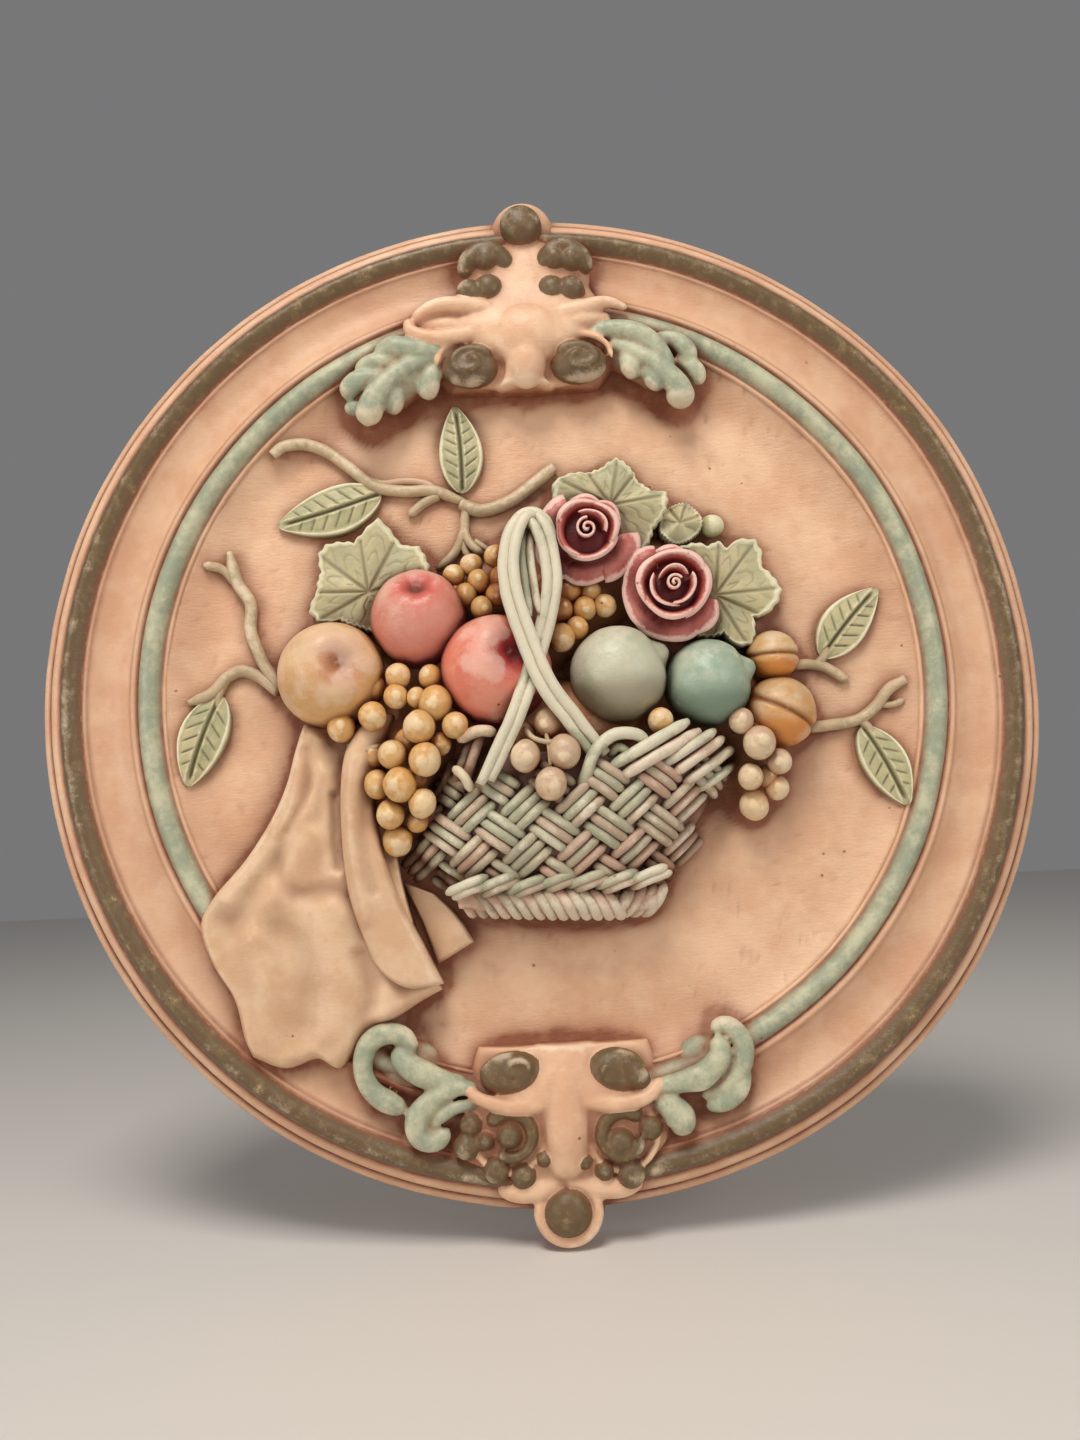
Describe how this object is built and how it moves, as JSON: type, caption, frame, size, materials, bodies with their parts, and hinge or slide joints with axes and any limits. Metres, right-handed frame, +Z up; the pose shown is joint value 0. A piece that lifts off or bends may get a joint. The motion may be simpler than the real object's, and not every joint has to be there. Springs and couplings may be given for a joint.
{
  "type": "decorative wall plaque",
  "caption": "Round cast plaque with moulded rim, fruit basket in high relief, crest and pendant ornament, flat back",
  "frame": {"origin": "centre of the flat back face, which lies against the wall", "axes": "+Z up as hung, +X to the right seen from the front, +Y into the wall; the relief faces -Y"},
  "size_m": [0.4489, 0.0578, 0.4685],
  "materials": {
    "painted_plaster": "satin"
  },
  "bodies": {
    "root": {"plaque": "painted_plaster"}
  },
  "joints": []
}
